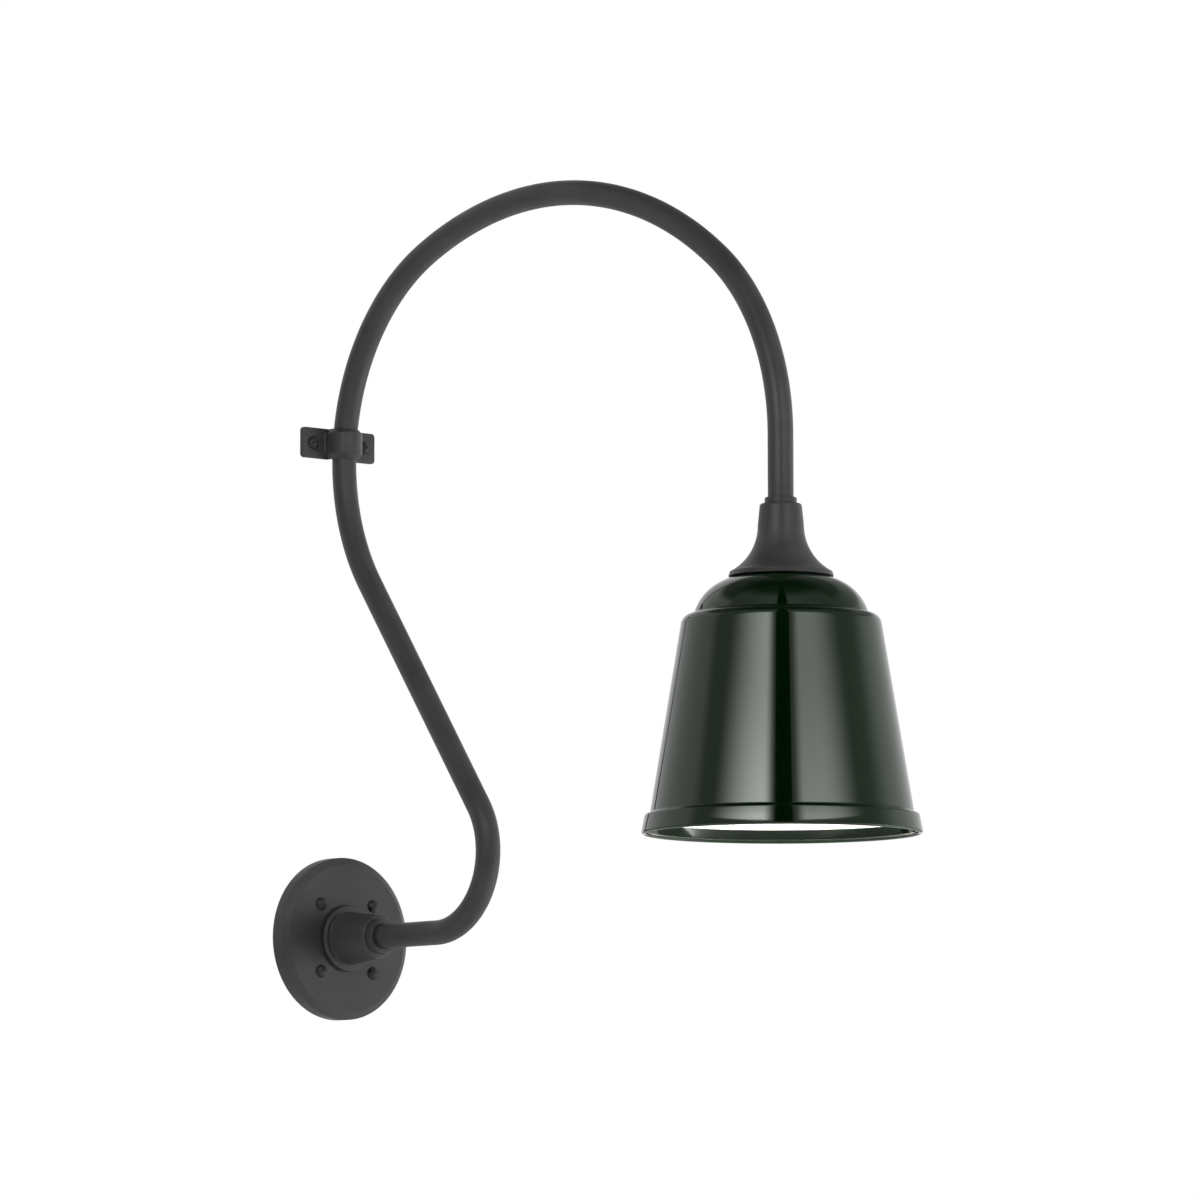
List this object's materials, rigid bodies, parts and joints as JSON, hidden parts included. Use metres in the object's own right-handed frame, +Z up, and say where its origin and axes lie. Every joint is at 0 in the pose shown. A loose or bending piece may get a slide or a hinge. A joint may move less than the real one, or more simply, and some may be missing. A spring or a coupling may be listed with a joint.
{
  "type": "barn light",
  "caption": "Gooseneck barn light: an S-curved tube arm on a round wall plate, steadied by a wall strap, with a glossy bell shade hung from a flared neck.",
  "frame": {"origin": "centre of the round wall plate, on the wall plane", "axes": "+Y points into the wall, so the light stands out along -Y; +X runs along the wall; +Z is up"},
  "size_m": [0.2062, 0.6331, 0.6333],
  "materials": {
    "charcoal_coat": "satin powder coat",
    "gasket_rubber": "matte",
    "green_screw": "green ground screw",
    "zinc_steel": "bright zinc",
    "black_steel": "black oxide",
    "green_enamel": "high gloss enamel",
    "white_enamel": "semi-gloss",
    "porcelain": "glazed",
    "brass": "satin",
    "black_insulation": "satin",
    "white_insulation": "satin",
    "opal_globe": "frosted opal",
    "white_plastic": "satin",
    "board_aluminium": "white-coated",
    "cap_nickel": "nickel plate",
    "black_insulator": "glossy"
  },
  "bodies": {
    "fixture": {"backplate": "charcoal_coat", "backplate_gasket": "gasket_rubber", "backplate_screws": "charcoal_coat", "ground_screw": "green_screw", "hub": "charcoal_coat", "hub_nipple": "zinc_steel", "hub_locknut": "zinc_steel", "hub_set_screw": "black_steel", "arm_tube": "charcoal_coat", "wall_strap": "charcoal_coat", "strap_screws": "charcoal_coat", "neck_lock_ring": "charcoal_coat", "shade_neck": "charcoal_coat", "neck_set_screw": "black_steel", "shade_gasket": "gasket_rubber", "shade": "green_enamel", "shade_reflector": "white_enamel", "shade_nut": "zinc_steel", "lampholder_body": "porcelain", "lampholder_shell": "brass", "lampholder_contact": "brass", "lampholder_screws": "zinc_steel", "lead_live": "black_insulation", "lead_neutral": "white_insulation"},
    "bulb": {"bulb_globe": "opal_globe", "bulb_body": "white_plastic", "bulb_light_board": "board_aluminium", "bulb_cap": "cap_nickel", "bulb_insulator": "black_insulator", "bulb_tip": "cap_nickel"}
  },
  "joints": [
    {"name": "bulb_withdraw", "type": "slide", "parent": "fixture", "child": "bulb", "axis": [0, 0, -1], "range_m": [0, 0.2]}
  ]
}
